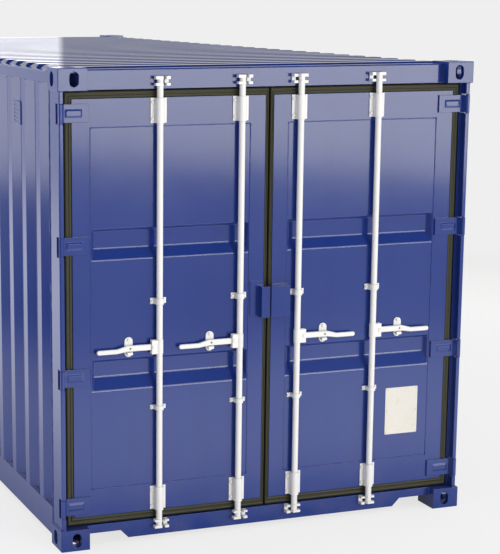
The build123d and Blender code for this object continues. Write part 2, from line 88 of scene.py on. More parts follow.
# Foot and top of the rod brackets, and middle of the rod guides, pins, catches and hinge knuckles.
BRACKETS = ((0.174, 0.306), (2.294, 2.426))
GUIDE_Z = (0.752, 1.340)
PIN_Z, CATCH_Z = 1.092, 1.096
HINGE_Z = (0.235, 0.948, 1.660, 2.355)
# Way to the dark side of the studio at the front left, and azimuth where its grey screen begins.
DARK_SIDE = (-0.86, -0.51, 0)
SCREEN_AZIMUTH = math.radians(17.35)

# Finish that each slot of the frame gets.
FINISH = {"body_paint": "blue_paint", "gear_paint": "white_paint", "gasket_rubber": "seal_rubber",
          "floor_wood": "plywood", "underframe_coat": "black_coat"}
# Colours of the marks that age and use leave on the finishes, and of the painted shade in the lock gear's
# corners.
DUST = (0.20, 0.18, 0.155, 1)
ROAD_DUST = (0.11, 0.10, 0.085, 1)
RUBBER_DUST = (0.12, 0.105, 0.08, 1)
BARE_STEEL = (0.16, 0.15, 0.145, 1)
DULL_STEEL = (0.32, 0.30, 0.28, 1)
SCRATCH = (0.45, 0.44, 0.42, 1)
# Painted shade: the brownish dark that the lock gear takes in its corners and recesses.
NOOK_SHADE = (0.40, 0.35, 0.24, 1)
SCUFF = (0.09, 0.085, 0.08, 1)
JOINT = (0.015, 0.012, 0.01, 1)
SPECK = (0.30, 0.25, 0.18, 1)


def deep(depth):
    """Y of a depth in metres behind the door end's face."""
    return FRONT_Y + depth


def at_object_mode():
    """Leaves edit mode."""
    if bpy.context.mode != "OBJECT":
        bpy.ops.object.mode_set(mode="OBJECT")


def select_only(pieces):
    """Selects these objects and no others, and makes the first one active."""
    at_object_mode()
    bpy.ops.object.select_all(action="DESELECT")
    for piece in pieces:
        piece.select_set(True)
    bpy.context.view_layer.objects.active = pieces[0]


def primitive(kind, name, **options):
    """New primitive, alone in the selection."""
    at_object_mode()
    bpy.ops.object.select_all(action="DESELECT")
    getattr(bpy.ops.mesh, f"primitive_{kind}_add")(**options)
    piece = bpy.context.active_object
    piece.name = piece.data.name = name
    return piece


def freeze(piece):
    """Puts the object's place into its mesh."""
    select_only([piece])
    bpy.ops.object.transform_apply(location=True, rotation=True, scale=True)


def edit(piece, mode="FACE"):
    """Opens a piece in edit mode with nothing selected."""
    select_only([piece])
    bpy.ops.object.mode_set(mode="EDIT")
    bpy.ops.mesh.select_mode(type=mode)
    bpy.ops.mesh.select_all(action="DESELECT")


def pick(piece, test, part="faces"):
    """Selects the faces or edges of the open piece that pass a test."""
    mesh = bmesh.from_edit_mesh(piece.data)
    for item in getattr(mesh, part):
        item.select_set(bool(test(item)))
    mesh.select_flush_mode()
    bmesh.update_edit_mesh(piece.data)


def soften(piece, width, segments=2, sharp=30):
    """Rounds all edges sharper than an angle in degrees with a bevel that is applied."""
    modifier = piece.modifiers.new("Rounding", "BEVEL")
    modifier.width = width
    modifier.segments = segments
    modifier.limit_method = "ANGLE"
    modifier.angle_limit = math.radians(sharp)
    select_only([piece])
    bpy.ops.object.modifier_apply(modifier=modifier.name)
    bpy.ops.object.shade_smooth_by_angle(angle=SMOOTH_ANGLE)
    return piece


def joined(pieces, name):
    """Joins pieces into one with this name."""
    select_only(pieces)
    if len(pieces) > 1:
        bpy.ops.object.join()
    whole = bpy.context.view_layer.objects.active
    whole.name = whole.data.name = name
    return whole


def repeated(pattern, places, name):
    """Copies a modelled pattern to each matrix and joins the copies. The pattern itself goes."""
    copies = []
    for place in places:
        copy = pattern.copy()
        copy.data = pattern.data.copy()
        copy.data.transform(place)
        bpy.context.scene.collection.objects.link(copy)
        copies.append(copy)
    bpy.data.objects.remove(pattern)
    return joined(copies, name)


def fit(piece, body, slot, finish=None):
    """Gives a finished piece its body and the material of one of the finishes, or else of the slot's own
    finish.
    """
    piece.data.materials.clear()
    piece.data.materials.append(bpy.data.materials[finish or FINISH[slot]])
    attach(piece, body)


def facing_out(x, depth, z, turn=0.0):
    """Matrix that stands a pattern's +Z out of the door end, towards -Y."""
    return (Matrix.Translation((x, deep(depth), z)) @ Matrix.Rotation(math.radians(90), 4, "X")
            @ Matrix.Rotation(turn, 4, "Z"))


class ContainerPaint(bpy.types.PropertyGroup):
    body: FloatVectorProperty(name="Body paint", description="Colour of the steel body", subtype="COLOR",
                              size=3, min=0, max=1, default=(0.010, 0.034, 0.225))
    faded: FloatVectorProperty(name="Faded paint", description="Colour where sun has bleached the body",
                               subtype="COLOR", size=3, min=0, max=1, default=(0.020, 0.047, 0.245))
    gear: FloatVectorProperty(name="Lock gear paint", description="Colour of rods, handles and brackets",
                              subtype="COLOR", size=3, min=0, max=1, default=(0.90, 0.90, 0.91))
    rubber: FloatVectorProperty(name="Seal rubber", description="Colour of the door seals", subtype="COLOR",
                                size=3, min=0, max=1, default=(0.027, 0.027, 0.0105))
    wood: FloatVectorProperty(name="Floor wood", description="Colour of the floor boards", subtype="COLOR",
                              size=3, min=0, max=1, default=(0.21, 0.105, 0.05))
    coat: FloatVectorProperty(name="Underbody coat", description="Colour of the beams under the floor",
                              subtype="COLOR", size=3, min=0, max=1, default=(0.018, 0.018, 0.02))
    plate: FloatVectorProperty(name="Plate", description="Colour of the bare data plate", subtype="COLOR",
                               size=3, min=0, max=1, default=(0.79, 0.77, 0.735))
    gloss: FloatProperty(name="Body roughness", description="Roughness of the body paint", subtype="FACTOR",
                         min=0, max=1, default=0.115)
    roof_gloss: FloatProperty(name="Roof roughness", description="Roughness of the paint on the roof",
                              subtype="FACTOR", min=0, max=1, default=0.035)
    edge: FloatProperty(name="Edge radius", description="Rounding that the paint shows along edges",
                        unit="LENGTH", min=0, default=0.0024)


class ContainerSizes(bpy.types.PropertyGroup):
    sheet: FloatProperty(name="Sheet", description="Thickness of the door sheets", unit="LENGTH", min=0.0005,
                         default=0.0025)
    trough_margin: FloatProperty(name="Trough margin", description="From the sheet's edge to a trough",
                                 unit="LENGTH", min=0, default=0.006)
    trough_depth: FloatProperty(name="Trough depth", description="Depth of the pressed troughs",
                                unit="LENGTH", min=0, default=0.034)
    trough_top: FloatProperty(name="Trough top", description="Run of a trough's steep top", unit="LENGTH",
                              min=0, default=0.012)
    trough_end: FloatProperty(name="Trough end", description="Run of the slopes at a trough's ends",
                              unit="LENGTH", min=0, default=0.020)
    trough_bend: FloatProperty(name="Trough bend", description="Rounding along a trough's bends",
                               unit="LENGTH", min=0, default=0.007)
    weld: FloatProperty(name="Weld radius", description="Radius of a weld bead", unit="LENGTH",
                        min=0.001, default=0.0042)
    bolt: FloatProperty(name="Bolt head", description="Radius of a bolt head", unit="LENGTH",
                        min=0.002, default=0.007875)
    plate_low: FloatVectorProperty(name="Plate corner", description="Lower left corner of the data plate",
                                   subtype="TRANSLATION", unit="LENGTH", size=2, default=(0.755, 0.462))
    plate_size: FloatVectorProperty(name="Plate size", description="Width and height of the data plate",
                                    subtype="XYZ", unit="LENGTH", size=2, default=(0.207, 0.275))
    screws_across: IntProperty(name="Floor screws", description="Screws across the floor at each beam",
                               min=2, default=14)


class ContainerStudio(bpy.types.PropertyGroup):
    backdrop: FloatProperty(name="Backdrop", description="Brightness of the pale backdrop", min=0,
                            default=0.863)
    fill: FloatProperty(name="Fill", description="Strength of the light from the horizon", min=0,
                        default=1.15)
    ceiling: FloatProperty(name="Ceiling", description="Light from above, as a share of the horizon's",
                           subtype="FACTOR", min=0, max=1, default=0.4)
    dark_side: FloatProperty(name="Dark side", description="Light from the front left, as a share",
                             subtype="FACTOR", min=0, max=1, default=0.25)
    screen: FloatProperty(name="Screen", description="Share of the backdrop's light on the grey screen",
                          subtype="FACTOR", min=0, max=1, default=0.73)
    back_light: FloatProperty(name="Back light", description="How much brighter gloss sees the back left",
                              min=1, default=2.5)
    low_light: FloatProperty(name="Low light", description="Brightness of the long low light in front",
                             min=0, default=5.3)
    side_light: FloatProperty(name="Side light", description="Brightness of the low light at the left",
                              min=0, default=3.8)
    key: FloatProperty(name="Key", description="Strength of the lamp in front", min=0, default=0.8)
    side_fill: FloatProperty(name="Side fill", description="Strength of the soft lamp at the left", min=0,
                             default=0.8)
    glow: FloatProperty(name="Glow", description="How much brighter gloss sees the floor by the doors",
                        min=1, default=2.3)
    floor: FloatProperty(name="Floor", description="Paleness of the floor", subtype="FACTOR", min=0, max=1,
                         default=0.95)
    lift: FloatProperty(name="Shadow lift", description="How far the floor's shadow is lightened",
                        subtype="FACTOR", min=0, max=1, default=0.7)
    near_floor: FloatProperty(name="Near floor", description="Lift of the near floor to the backdrop's level",
                              min=1, default=1.2)


def values(group):
    """Settings of one of the groups."""
    return getattr(bpy.context.scene, f"container_{group}")


def wired(tree, kind, inputs=None, **settings):
    """New shader node with its settings, and its inputs given as numbers or as sockets to link."""
    made = tree.nodes.new(kind)
    for key, value in settings.items():
        setattr(made, key, value)
    for key, value in (inputs or {}).items():
        if isinstance(value, bpy.types.NodeSocket):
            tree.links.new(value, made.inputs[key])
        else:
            made.inputs[key].default_value = value
    return made


def blank_material(name):
    """Material with a bare shader, its tree, and the object's own coordinates."""
    material = bpy.data.materials.new(name)
    material.use_nodes = True
    tree = material.node_tree
    shader = tree.nodes["Principled BSDF"]
    place = wired(tree, "ShaderNodeTexCoord").outputs["Object"]
    return material, tree, shader, place


def noise(tree, place, scale, detail=3.0, stretch=None):
    """Noise in the object's coordinates, drawn out along an axis where stretch says so."""
    if stretch:
        place = wired(tree, "ShaderNodeMapping", {"Vector": place, "Scale": stretch}).outputs["Vector"]
    made = wired(tree, "ShaderNodeTexNoise", {"Vector": place, "Scale": scale, "Detail": detail})
    return made.outputs["Fac"]


def ramp(tree, value, low, high, to_low=0.0, to_high=1.0):
    """Part of a value's range, spread between two new limits."""
    return wired(tree, "ShaderNodeMapRange", {"Value": value, "From Min": low, "From Max": high,
                                              "To Min": to_low, "To Max": to_high}).outputs["Result"]


def blend(tree, share, first, second):
    """Colour mixed between two colours or sockets."""
    mix = wired(tree, "ShaderNodeMix", data_type="RGBA")
    for socket, value in ((mix.inputs[0], share), (mix.inputs[6], first), (mix.inputs[7], second)):
        if isinstance(value, bpy.types.NodeSocket):
            tree.links.new(value, socket)
        else:
            socket.default_value = value
    return mix.outputs[2]


def opaque(colour, share=1.0, lift=0.0):
    """Colour with its alpha, darker or lighter by a share and a lift."""
    return (*(min(1.0, part * share + lift) for part in colour), 1.0)


def maths(tree, operation, *terms):
    """Outcome of an arithmetic node on one or two numbers or sockets."""
    return wired(tree, "ShaderNodeMath", dict(enumerate(terms)), operation=operation).outputs[0]


def times(tree, first, second):
    """Product of two numbers or sockets."""
    return maths(tree, "MULTIPLY", first, second)


def dot(tree, first, second):
    """Dot product of two vectors or sockets."""
    made = wired(tree, "ShaderNodeVectorMath", {0: first, 1: second}, operation="DOT_PRODUCT")
    return made.outputs["Value"]


def parts(tree, vector):
    """X, Y and Z of a vector, as sockets."""
    return wired(tree, "ShaderNodeSeparateXYZ", {"Vector": vector}).outputs


def rounded_edges(tree, radius):
    """Rounded normal, and a mask that is 1 on edges and corners."""
    bevel = wired(tree, "ShaderNodeBevel", {"Radius": radius}, samples=6).outputs["Normal"]
    flat = wired(tree, "ShaderNodeNewGeometry").outputs["True Normal"]
    return bevel, ramp(tree, dot(tree, bevel, flat), 0.995, 0.86)


def bumps(tree, normal, *layers):
    """Chain of bump layers, each a height, its strength and its distance in metres."""
    for height, strength, distance in layers:
        inputs = {"Height": height, "Strength": strength, "Distance": distance}
        if normal is not None:
            inputs["Normal"] = normal
        normal = wired(tree, "ShaderNodeBump", inputs).outputs["Normal"]
    return normal


def dress(tree, shader, tone, rough, normal=None):
    """Links a finish's colour, roughness and normal to its shader."""
    tree.links.new(tone, shader.inputs["Base Color"])
    tree.links.new(rough, shader.inputs["Roughness"])
    if normal is not None:
        tree.links.new(normal, shader.inputs["Normal"])


def body_paint(name, colour, faded, gloss):
    """Sprayed steel paint: bleached patches, rain streaks, dusty foot, worn edges that are lighter partly as
    a painted highlight, and orange peel.
    """
    material, tree, shader, place = blank_material(name)
    normal, edges = rounded_edges(tree, values("paint").edge)
    patches = ramp(tree, noise(tree, place, 0.9, 5.0), 0.38, 0.68)
    tone = blend(tree, times(tree, patches, 0.7), opaque(colour), opaque(faded))
    streaks = ramp(tree, noise(tree, place, 7.0, 4.0, stretch=(1, 1, 0.045)), 0.56, 0.80)
    tone = blend(tree, times(tree, streaks, 0.22), tone, opaque(colour, 0.55))
    low = ramp(tree, parts(tree, place)["Z"], 0.75, 0.0)
    foot = times(tree, low, ramp(tree, noise(tree, place, 5.0, 6.0), 0.35, 0.75))
    tone = blend(tree, times(tree, foot, 0.1225), tone, DUST)
    # Edges lighter in colour: partly paint worn thin, partly a painted highlight along the rounded edges. The
    # same mask also roughens them.
    edge_wear_and_highlight = times(tree, edges, ramp(tree, noise(tree, place, 24.0, 5.0), 0.36, 0.62, 0.25, 1.0))
    tone = blend(tree, times(tree, edge_wear_and_highlight, 0.38), tone, opaque(faded, 1.5, 0.05))
    chips = times(tree, edges, ramp(tree, noise(tree, place, 90.0, 2.0), 0.66, 0.70))
    tone = blend(tree, times(tree, chips, 0.55), tone, BARE_STEEL)
    rough = ramp(tree, noise(tree, place, 3.2, 6.0), 0.3, 0.7, gloss - 0.01, gloss + 0.025)
    rough = maths(tree, "ADD", times(tree, edge_wear_and_highlight, 0.12), rough)
    rough = maths(tree, "ADD", times(tree, foot, 0.2), rough)
    waves, peel = noise(tree, place, 2.2, 2.0), noise(tree, place, 260.0, 2.0)
    dress(tree, shader, tone, rough, bumps(tree, normal, (waves, 0.25, 0.002), (peel, 0.05, 0.0006)))


def gear_paint(name, colour):
    """Pale paint of the lock gear, darkened in its corners and recesses by a painted shade, with fine
    scratches.
    """
    material, tree, shader, place = blank_material(name)
    normal, edges = rounded_edges(tree, values("paint").edge * 0.6)
    mottle = ramp(tree, noise(tree, place, 6.0, 6.0), 0.35, 0.70)
    tone = blend(tree, times(tree, mottle, 0.35), opaque(colour), opaque(colour, 0.88))
    # Painted shade: ambient occlusion darkens the gear's corners and recesses unevenly, towards a brownish
    # colour.
    nook = wired(tree, "ShaderNodeAmbientOcclusion", {"Distance": 0.03}, samples=6).outputs["AO"]
    uneven = ramp(tree, noise(tree, place, 40.0, 5.0), 0.3, 0.7, 0.4, 1.0)
    nook_shade = times(tree, ramp(tree, nook, 0.75, 0.25), uneven)
    tone = blend(tree, times(tree, nook_shade, 0.35), tone, NOOK_SHADE)
    scratches = ramp(tree, noise(tree, place, 60.0, 3.0, stretch=(1, 1, 0.08)), 0.67, 0.74)
    tone = blend(tree, times(tree, scratches, 0.16), tone, SCRATCH)
    chips = times(tree, edges, ramp(tree, noise(tree, place, 110.0, 2.0), 0.66, 0.71))
    tone = blend(tree, times(tree, chips, 0.5), tone, DULL_STEEL)
    rough = ramp(tree, noise(tree, place, 14.0, 4.0), 0.3, 0.7, 0.28, 0.42)
    dress(tree, shader, tone, rough, bumps(tree, normal, (noise(tree, place, 320.0, 2.0), 0.06, 0.0006)))


def seal_rubber(name, colour):
    """Weathered rubber: chalky bloom and a fine grain."""
    material, tree, shader, place = blank_material(name)
    bloom = ramp(tree, noise(tree, place, 9.0, 7.0), 0.35, 0.72)
    tone = blend(tree, times(tree, bloom, 0.5), opaque(colour), opaque(colour, 1.35, 0.004))
    dust = ramp(tree, noise(tree, place, 70.0, 3.0), 0.60, 0.78)
    tone = blend(tree, times(tree, dust, 0.15), tone, RUBBER_DUST)
    shader.inputs["Specular IOR Level"].default_value = 0.36
    rough = ramp(tree, bloom, 0.0, 1.0, 0.42, 0.62)
    dress(tree, shader, tone, rough, bumps(tree, None, (noise(tree, place, 420.0, 3.0), 0.25, 0.0006)))


def floor_wood(name, colour):
    """Plywood sheets laid crosswise, with grain, dark joints and scuffs."""
    material, tree, shader, place = blank_material(name)
    sheets = wired(tree, "ShaderNodeTexBrick",
                   {"Vector": place, "Scale": 1.0, "Mortar Size": 0.004, "Brick Width": 2.4,
                    "Row Height": 1.2, "Color1": (0.35, 0.35, 0.35, 1), "Color2": (0.65, 0.65, 0.65, 1),
                    "Mortar": (0, 0, 0, 1)})
    grain = noise(tree, place, 38.0, 6.0, stretch=(1, 0.05, 1))
    rings = ramp(tree, noise(tree, place, 7.0, 4.0, stretch=(1, 0.12, 1)), 0.4, 0.65)
    tone = blend(tree, ramp(tree, grain, 0.3, 0.7), opaque(colour), opaque(colour, 0.55))
    tone = blend(tree, times(tree, rings, 0.4), tone, opaque(colour, 1.5))
    shade = wired(tree, "ShaderNodeSeparateColor", {"Color": sheets.outputs["Color"]}).outputs[0]
    tone = blend(tree, ramp(tree, shade, 0.3, 0.7, 0.0, 0.25), tone, opaque(colour, 0.7))
    tone = blend(tree, sheets.outputs["Fac"], tone, JOINT)
    scuffs = ramp(tree, noise(tree, place, 4.0, 8.0, stretch=(0.3, 1, 1)), 0.60, 0.75)
    tone = blend(tree, times(tree, scuffs, 0.35), tone, SCUFF)
    rough = ramp(tree, grain, 0.3, 0.7, 0.42, 0.65)
    dress(tree, shader, tone, rough, bumps(tree, None, (grain, 0.3, 0.001)))


def underbody_coat(name, colour):
    """Thick black underbody coat with road dust."""
    material, tree, shader, place = blank_material(name)
    lumps = noise(tree, place, 45.0, 5.0)
    dust = ramp(tree, noise(tree, place, 3.0, 6.0), 0.40, 0.75)
    tone = blend(tree, times(tree, dust, 0.35), opaque(colour), ROAD_DUST)
    rough = ramp(tree, lumps, 0.3, 0.7, 0.45, 0.75)
    dress(tree, shader, tone, rough, bumps(tree, None, (lumps, 0.4, 0.002)))


def bright_steel(name):
    """Zinc plating with a spangle of small crystals."""
    material, tree, shader, place = blank_material(name)
    shader.inputs["Metallic"].default_value = 1.0
    crystals = wired(tree, "ShaderNodeTexVoronoi", {"Vector": place, "Scale": 900.0}).outputs["Distance"]
    tone = blend(tree, ramp(tree, crystals, 0.1, 0.7), (0.46, 0.46, 0.45, 1), (0.62, 0.61, 0.58, 1))
    dress(tree, shader, tone, ramp(tree, noise(tree, place, 60.0, 4.0), 0.3, 0.7, 0.30, 0.5))


def white_plate(name, colour):
    """Enamelled plate, a little yellowed in patches."""
    material, tree, shader, place = blank_material(name)
    age = ramp(tree, noise(tree, place, 11.0, 5.0), 0.35, 0.75)
    yellowed = opaque([part * left for part, left in zip(colour, (0.95, 0.91, 0.82))])
    tone = blend(tree, times(tree, age, 0.4), opaque(colour), yellowed)
    specks = ramp(tree, noise(tree, place, 150.0, 3.0), 0.70, 0.76)
    tone = blend(tree, times(tree, specks, 0.3), tone, SPECK)
    rough = ramp(tree, noise(tree, place, 20.0, 4.0), 0.3, 0.7, 0.25, 0.4)
    dress(tree, shader, tone, rough, bumps(tree, None, (noise(tree, place, 200.0, 2.0), 0.05, 0.0005)))


class CONTAINER_OT_finishes(bpy.types.Operator):
    """Makes the finishes and gives each frame node its own"""
    bl_idname = "container.finishes"
    bl_label = "Paint and finishes"

    def execute(self, context):
        paint = values("paint")
        body_paint("blue_paint", paint.body, paint.faded, paint.gloss)
        body_paint("roof_paint", paint.body, paint.faded, paint.roof_gloss)
        gear_paint("white_paint", paint.gear)
        seal_rubber("seal_rubber", paint.rubber)
        floor_wood("plywood", paint.wood)
        underbody_coat("black_coat", paint.coat)
        bright_steel("bright_steel")
        white_plate("white_plate", paint.plate)
        for row in frame["record"]["subparts"]:
            mesh = nodes[row["node"]].data
            mesh.materials.clear()
            on_top = row["node"].startswith(("roof", "top_side_rail"))
            paint_name = "roof_paint" if on_top else FINISH[row["material_slot"]]
            mesh.materials.append(bpy.data.materials[paint_name])
        return {"FINISHED"}


def seal_ring(name, outer, inner, back):
    """Rubber frame with one lipped section all round, between two rectangles and from a back depth."""
    centre = [(outer[0][i] + outer[1][i]) / 2 for i in (0, 1)]
    piece = primitive("plane", name, size=1, location=(centre[0], deep(back), centre[1]),
                      rotation=(math.radians(90), 0, 0))
    piece.scale = (outer[1][0] - outer[0][0], outer[1][1] - outer[0][1], 1)
    freeze(piece)
    edit(piece, "EDGE")
    bpy.ops.mesh.select_all(action="SELECT")
    bpy.ops.mesh.delete(type="ONLY_FACE")
    bpy.ops.mesh.select_all(action="SELECT")
    was, was_deep = outer, back
    for share, depth in (*SEAL_FRONT, (1.0, back), (0.0, back)):
        now = [[o + (i - o) * share for o, i in zip(oc, ic)] for oc, ic in zip(outer, inner)]
        grow = [(now[1][i] - now[0][i]) / (was[1][i] - was[0][i]) for i in (0, 1)]
        old = [(was[0][i] + was[1][i]) / 2 for i in (0, 1)]
        new = [(now[0][i] + now[1][i]) / 2 for i in (0, 1)]
        bpy.ops.mesh.extrude_edges_move()
        bpy.ops.transform.resize(value=(grow[0], 1, grow[1]),
                                 center_override=(old[0], deep(was_deep), old[1]))
        bpy.ops.transform.translate(value=(new[0] - old[0], depth - was_deep, new[1] - old[1]))
        was, was_deep = now, depth
    bpy.ops.mesh.select_all(action="SELECT")
    bpy.ops.mesh.remove_doubles(threshold=0.0002)
    bpy.ops.mesh.normals_make_consistent(inside=False)
    return soften(piece, 0.0015)


class CONTAINER_OT_seals(bpy.types.Operator):
    """Rubber seals with two lips round each door leaf"""
    bl_idname = "container.seals"
    bl_label = "Door seals"

    def execute(self, context):
        for side, _ in SIDES:
            low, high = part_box(f"door_gasket_{side}")
            leaf_low, leaf_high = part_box(f"door_frame_{side}")
            outer = ((low.x, low.z), (high.x, high.z))
            inner = ((leaf_low.x, leaf_low.z), (leaf_high.x, leaf_high.z))
            seal = seal_ring(f"door_seal_{side}", outer, inner, high.y - FRONT_Y)
            fit(seal, f"{side}_door", "gasket_rubber")
            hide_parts(f"door_gasket_{side}")
        return {"FINISHED"}


def cut_line(place, normal):
    """Cuts the whole open piece along a plane and keeps both parts."""
    bpy.ops.mesh.select_all(action="SELECT")
    bpy.ops.mesh.bisect(plane_co=place, plane_no=normal)


def press_trough(piece, wide, trough, face, sizes):
    """Presses one trough into the open sheet: steep at its top, with a long slope at its foot."""
    foot, top, slope = trough
    pick(piece, lambda f: (wide[0] < f.calc_center_median().x < wide[1]
                           and foot < f.calc_center_median().z < top))
    bpy.ops.mesh.extrude_region_move(TRANSFORM_OT_translate={"value": (0, sizes.trough_depth, 0)})
    across, up = wide[1] - wide[0], top - foot
    taken = sizes.trough_top + slope
    centre_x = (wide[0] + wide[1]) / 2
    centre_z = foot + slope * up / taken
    bpy.ops.transform.resize(value=(1 - 2 * sizes.trough_end / across, 1, 1 - taken / up),
                             center_override=(centre_x, face, centre_z))


class CONTAINER_OT_door_sheets(bpy.types.Operator):
    """Pressed sheet of each leaf, with two troughs whose bends catch the light"""
    bl_idname = "container.door_sheets"
    bl_label = "Door sheets"

    def execute(self, context):
        sizes = values("sizes")
        for side, _ in SIDES:
            low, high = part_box(f"door_panel_{side}")
            middle = ((low.x + high.x) / 2, low.y, (low.z + high.z) / 2)
            sheet = primitive("plane", f"door_sheet_{side}", size=1, location=middle,
                              rotation=(math.radians(90), 0, 0))
            sheet.scale = (high.x - low.x, high.z - low.z, 1)
            freeze(sheet)
            edit(sheet)
            wide = (low.x + sizes.trough_margin, high.x - sizes.trough_margin)
            for x in wide:
                cut_line((x, 0, 0), (1, 0, 0))
            for foot, top, _ in TROUGHS:
                for z in (foot, top):
                    cut_line((0, 0, z), (0, 0, 1))
            for trough in TROUGHS:
                press_trough(sheet, wide, trough, low.y, sizes)
            soften(sheet, sizes.trough_bend, 4, sharp=15)
            edit(sheet)
            bpy.ops.mesh.select_all(action="SELECT")
            bpy.ops.mesh.extrude_region_move(TRANSFORM_OT_translate={"value": (0, sizes.sheet, 0)})
            bpy.ops.mesh.select_all(action="SELECT")
            bpy.ops.mesh.normals_make_consistent(inside=False)
            at_object_mode()
            bpy.ops.object.shade_smooth_by_angle(angle=SMOOTH_ANGLE)
            level = sheet.modifiers.new("Level faces", "WEIGHTED_NORMAL")
            bpy.ops.object.modifier_apply(modifier=level.name)
            fit(sheet, f"{side}_door", "body_paint")
            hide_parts(f"door_panel_{side}")
        return {"FINISHED"}


def bead(start, end, radius, seed):
    """Round weld bead between two points, rippled along its length."""
    start, end = Vector(start), Vector(end)
    along = end - start
    way, ripple, most_cuts = along.normalized(), 0.018, 160
    piece = primitive("cylinder", "bead", vertices=8, radius=radius, depth=along.length,
                      location=(start + end) / 2, rotation=along.to_track_quat("Z", "Y").to_euler())
    freeze(piece)
    edit(piece, "EDGE")
    pick(piece, lambda e: abs((e.verts[0].co - e.verts[1].co).normalized().dot(way)) > 0.9, "edges")
    bpy.ops.mesh.subdivide(number_cuts=max(2, min(most_cuts, int(along.length / ripple))))
    bpy.ops.mesh.select_all(action="SELECT")
    bpy.ops.transform.vertex_random(offset=radius * 0.22, uniform=0.3, normal=0.7, seed=seed)
    at_object_mode()
    bpy.ops.object.shade_smooth()
    return piece


def beads(name, lines, radius):
    """Joined weld beads along a list of lines."""
    return joined([bead(a, b, radius, i + 1) for i, (a, b) in enumerate(lines)], name)


def outer_x(node, s):
    """X of the face of a node that is outermost on its side."""
    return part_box(node)[s > 0].x


def inner_x(node, s):
    """X of the face of a node that is nearest to the middle."""
    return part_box(node)[s < 0].x


def upright(x, y, low, high):
    """Line from one height up to another."""
    return (x, y, low), (x, y, high)


def body_weld_lines():
    """Seams of the fixed body: castings to rails, posts, header and sill, and sheets to rails."""
    lines = []
    post_leg, notch_top, header_slope = 0.024, 0.072, 0.008
    rail_seam, wall_seam, roof_seam, roof_lip = 1.209, 1.210, 1.2085, 0.002
    header_low, header_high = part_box("door_header")
    _, sill_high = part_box("door_sill")
    roof_low, roof_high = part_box("roof")
    back_low, back_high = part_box("closed_end_sill")
    for side, s in SIDES:
        corner_x, y = inner_x(f"casting_top_door_end_{side}", s), header_low.y
        lines.append(upright(corner_x, y, header_low.z, header_high.z - header_slope))
        lines.append(upright(corner_x, y, notch_top, sill_high.z))
        post_low, post_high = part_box(f"door_post_{side}")
        x = outer_x(f"door_post_{side}", s)
        for z in (post_low.z, post_high.z):
            lines.append(((x - s * post_leg, post_low.y, z), (x, post_low.y, z)))
            lines.append(((x, post_low.y, z), (x, post_high.y, z)))
        wall_low, wall_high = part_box(f"side_wall_{side}")
        rail_low, rail_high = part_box(f"bottom_side_rail_{side}")
        top_low, top_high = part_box(f"top_side_rail_{side}")
        for y in (rail_low.y, rail_high.y):
            lines.append(upright(outer_x(f"bottom_side_rail_{side}", s), y, rail_low.z, sill_high.z))
            lines.append(upright(s * rail_seam, y, top_low.z, top_high.z))
            lines.append(upright(s * wall_seam, y, wall_low.z, wall_high.z))
        z = roof_low.z + roof_lip
        lines.append(((s * roof_seam, roof_low.y, z), (s * roof_seam, roof_high.y, z)))
        back_x = inner_x(f"casting_top_closed_end_{side}", s)
        lines.append(upright(back_x, back_high.y, back_low.z, post_low.z))
        lines.append(upright(back_x, back_high.y, post_high.z, top_high.z))
    return lines


def sheet_weld_lines(side, s):
    """Seam that follows the folds of a side wall along its foot and its top."""
    inner_skin, shortest = 1.1745, 0.02
    low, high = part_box(f"side_wall_{side}")
    outer = {}
    for vertex in nodes[f"side_wall_{side}"].data.vertices:
        if vertex.co.z < low.z + 0.01:
            y = round(vertex.co.y, 4)
            outer[y] = max(outer.get(y, 0), s * round(vertex.co.x, 4))
    corners = sorted((y, x) for y, x in outer.items() if x > inner_skin)
    return [((s * x0, y0, z), (s * x1, y1, z)) for (y0, x0), (y1, x1) in zip(corners, corners[1:])
            if y1 - y0 >= shortest for z in (low.z, high.z)]


def leaf_weld_lines(side):
    """Seams round the pressed sheet of a leaf."""
    low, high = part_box(f"door_panel_{side}")
    corners = [(low.x, low.y, low.z), (high.x, low.y, low.z), (high.x, low.y, high.z), (low.x, low.y, high.z)]
    return list(zip(corners, corners[1:] + corners[:1]))


class CONTAINER_OT_welds(bpy.types.Operator):
    """Weld beads where castings, rails, sheets and door frames meet"""
    bl_idname = "container.welds"
    bl_label = "Weld beads"

    def execute(self, context):
        radius = values("sizes").weld
        fit(beads("body_welds", body_weld_lines(), radius), "container", "body_paint")
        for side, s in SIDES:
            walls = beads(f"side_wall_welds_{side}", sheet_weld_lines(side, s), radius * 0.7)
            fit(walls, "container", "body_paint")
            leaf = beads(f"door_welds_{side}", leaf_weld_lines(side), radius * 0.8)
            fit(leaf, f"{side}_door", "body_paint")
        return {"FINISHED"}


def bolt_head(name, radius):
    """Hexagon head with a chamfered top on a round washer."""
    washer = primitive("cylinder", name + "_washer", vertices=20, radius=radius * 1.35, depth=radius * 0.25,
                       location=(0, 0, radius * 0.125))
    freeze(washer)
    soften(washer, radius * 0.08, 1)
    head = primitive("cylinder", name, vertices=6, radius=radius, depth=radius * 0.65,
                     location=(0, 0, radius * 0.57))
    freeze(head)
    edit(head)
    pick(head, lambda f: f.normal.z > 0.9)
    bpy.ops.mesh.inset(thickness=radius * 0.16)
    bpy.ops.transform.translate(value=(0, 0, radius * 0.09))
    at_object_mode()
    return joined([head, washer], name)


def dome_rivet(name, radius, height):
    """Low round rivet head."""
    piece = primitive("uv_sphere", name, segments=16, ring_count=8, radius=radius, location=(0, 0, 0))
    edit(piece)
    bpy.ops.mesh.select_all(action="SELECT")
    bpy.ops.mesh.bisect(plane_co=(0, 0, 0), plane_no=(0, 0, 1), clear_inner=True, use_fill=True)
    bpy.ops.mesh.select_all(action="SELECT")
    bpy.ops.transform.resize(value=(1, 1, height / radius), center_override=(0, 0, 0))
    select_only([piece])
    bpy.ops.object.shade_smooth_by_angle(angle=math.radians(50))
    return piece


